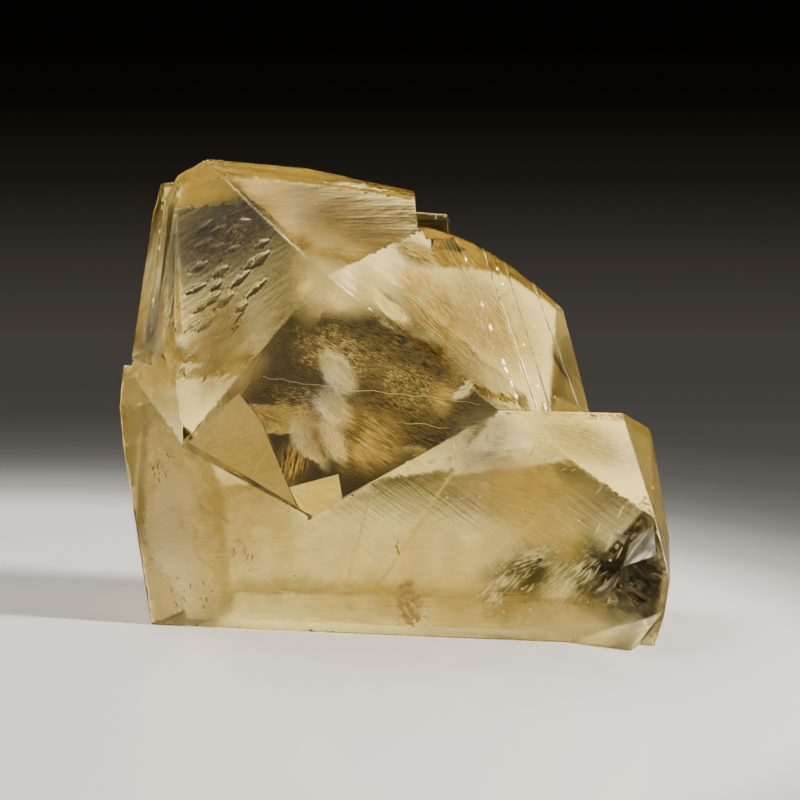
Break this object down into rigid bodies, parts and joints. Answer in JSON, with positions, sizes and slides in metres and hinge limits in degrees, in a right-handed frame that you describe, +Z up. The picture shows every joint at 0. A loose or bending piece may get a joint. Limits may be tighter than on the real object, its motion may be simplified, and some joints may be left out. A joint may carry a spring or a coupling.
{
  "type": "twinned calcite crystal specimen",
  "caption": "Intergrown honey-coloured calcite rhombs with a re-entrant window, a striated flank, an etched face and a flat cleavage base to stand on.",
  "frame": {"origin": "on the floor it stands on, under the middle of its bounding box", "axes": "+Z up, -Y to the side that the picture shows, X along its longest side"},
  "size_m": [0.0822, 0.0502, 0.0696],
  "materials": {
    "honey_calcite": "clear honey calcite, glossy crystal faces, one face etched, hazy veils inside"
  },
  "bodies": {
    "root": {"twinned_calcite": "honey_calcite"}
  },
  "joints": []
}
